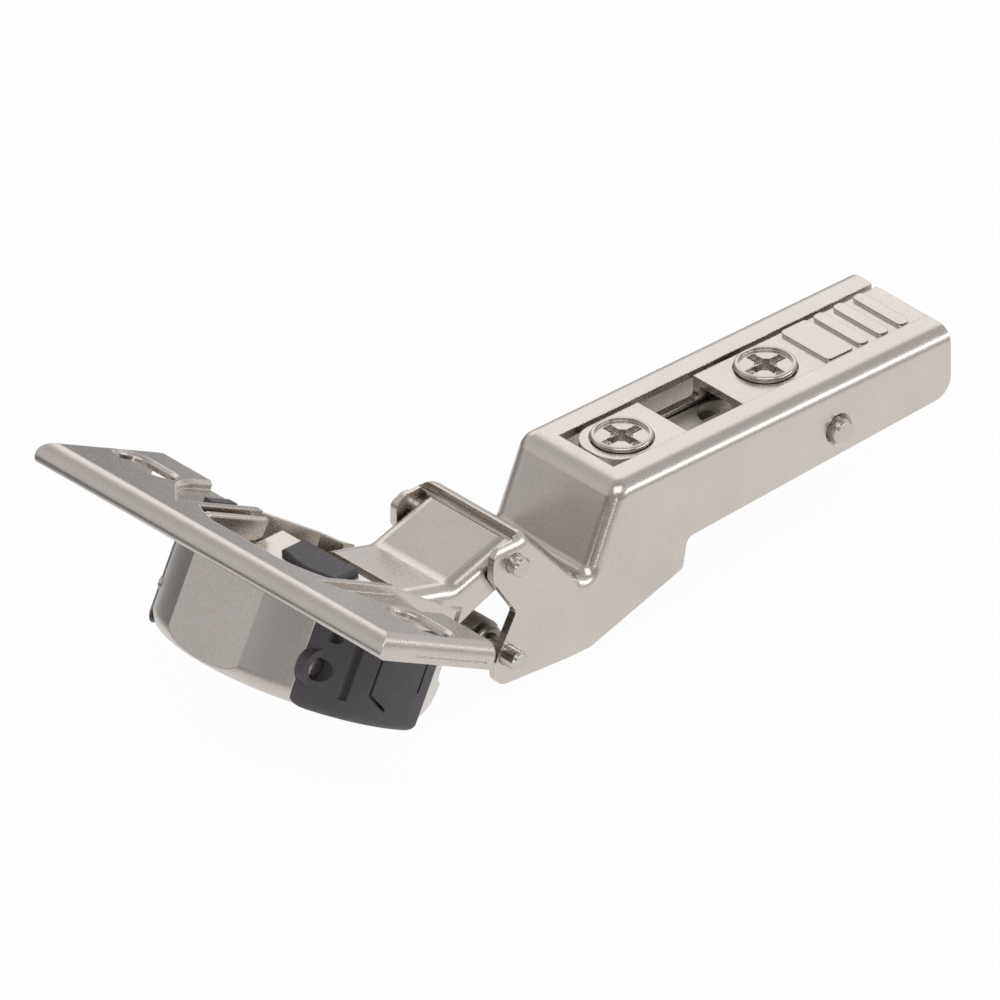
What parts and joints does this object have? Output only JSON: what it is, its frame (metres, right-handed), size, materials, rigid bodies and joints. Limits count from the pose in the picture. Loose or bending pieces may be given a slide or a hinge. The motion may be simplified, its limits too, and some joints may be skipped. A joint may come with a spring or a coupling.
{
  "type": "concealed cabinet hinge",
  "caption": "Nickel-plated clip-on concealed hinge for an angled cabinet door, standing open, with adjusting screws and a soft-close cup.",
  "frame": {"origin": "the clip seat, midway across the arm, on the plane where the arm's base rests on its mounting plate", "axes": "+X towards the arm's rear end, +Y towards the arm's far side, +Z away from the cabinet side, out of the adjusting screws' heads"},
  "size_m": [0.1063, 0.0568, 0.0305],
  "materials": {
    "nickel_steel": "satin nickel plate on cold-rolled steel",
    "spring_steel": "drawn wire",
    "dark_plastic": "fine matte moulding"
  },
  "bodies": {
    "clip_base": {"clip_base": "nickel_steel", "release_pin": "nickel_steel"},
    "release_lever": {"release_lever": "nickel_steel", "release_spring": "spring_steel"},
    "carrier": {"carrier_plate": "nickel_steel", "rear_pin": "nickel_steel"},
    "depth_screw": {"depth_screw": "nickel_steel"},
    "side_screw": {"side_screw": "nickel_steel"},
    "arm": {"arm": "nickel_steel", "adjuster_bridge": "nickel_steel", "upper_arm_pin": "nickel_steel", "lower_arm_pin": "nickel_steel", "closing_spring": "spring_steel"},
    "outer_lever": {"outer_lever": "nickel_steel"},
    "inner_lever": {"inner_lever": "nickel_steel", "inner_cup_pin": "nickel_steel"},
    "cup": {"cup": "nickel_steel", "outer_cup_pin": "nickel_steel", "damper_pin": "nickel_steel", "damper_housing_near": "dark_plastic", "damper_housing_far": "dark_plastic", "deck_plate": "nickel_steel", "damper_bracket": "nickel_steel"},
    "switch": {"damping_switch": "dark_plastic"}
  },
  "joints": [
    {"name": "release_press", "type": "hinge", "parent": "clip_base", "child": "release_lever", "pos_m": [0.0249, 0, 0.0026], "axis": [0, -1, 0], "range_deg": [0, 12], "stiffness_Nm_per_rad": 0.05, "springref_deg": -5.73},
    {"name": "depth_slide", "type": "slide", "parent": "clip_base", "child": "carrier", "axis": [1, 0, 0], "range_m": [-0.002, 0.003]},
    {"name": "depth_turn", "type": "hinge", "parent": "carrier", "child": "depth_screw", "pos_m": [0.0113, 0, 0.0101], "axis": [0, 0, 1], "range_deg": [-120, 180]},
    {"name": "side_tilt", "type": "hinge", "parent": "carrier", "child": "arm", "pos_m": [0.01458, 0, 0.00451], "axis": [0, 1, 0], "range_deg": [-3.4, 3.4]},
    {"name": "side_turn", "type": "hinge", "parent": "carrier", "child": "side_screw", "pos_m": [-0.0104, 0, 0.0101], "axis": [0, 0, 1], "range_deg": [-540, 540]},
    {"name": "outer_swing", "type": "hinge", "parent": "arm", "child": "outer_lever", "pos_m": [-0.03443, 0, 0.00753], "axis": [0, 1, 0], "range_deg": [0, 30.2]},
    {"name": "inner_swing", "type": "hinge", "parent": "arm", "child": "inner_lever", "pos_m": [-0.0355, 0, -0.004], "axis": [0, 1, 0], "range_deg": [0, 16.25]},
    {"name": "cup_swing", "type": "hinge", "parent": "outer_lever", "child": "cup", "pos_m": [-0.04995, 0, 0.00186], "axis": [0, 1, 0], "range_deg": [0, 79.32]},
    {"name": "damping_choice", "type": "slide", "parent": "cup", "child": "switch", "axis": [0, 1, 0], "range_m": [0, 0.0025]}
  ],
  "couplings": [
    {"joint": "outer_swing", "follows": "cup_swing", "ratio": 0.38052},
    {"joint": "inner_swing", "follows": "cup_swing", "ratio": 0.20476},
    {"joint": "depth_turn", "follows": "depth_slide", "rad_per_m": 1045},
    {"joint": "side_turn", "follows": "side_tilt", "ratio": 158}
  ]
}
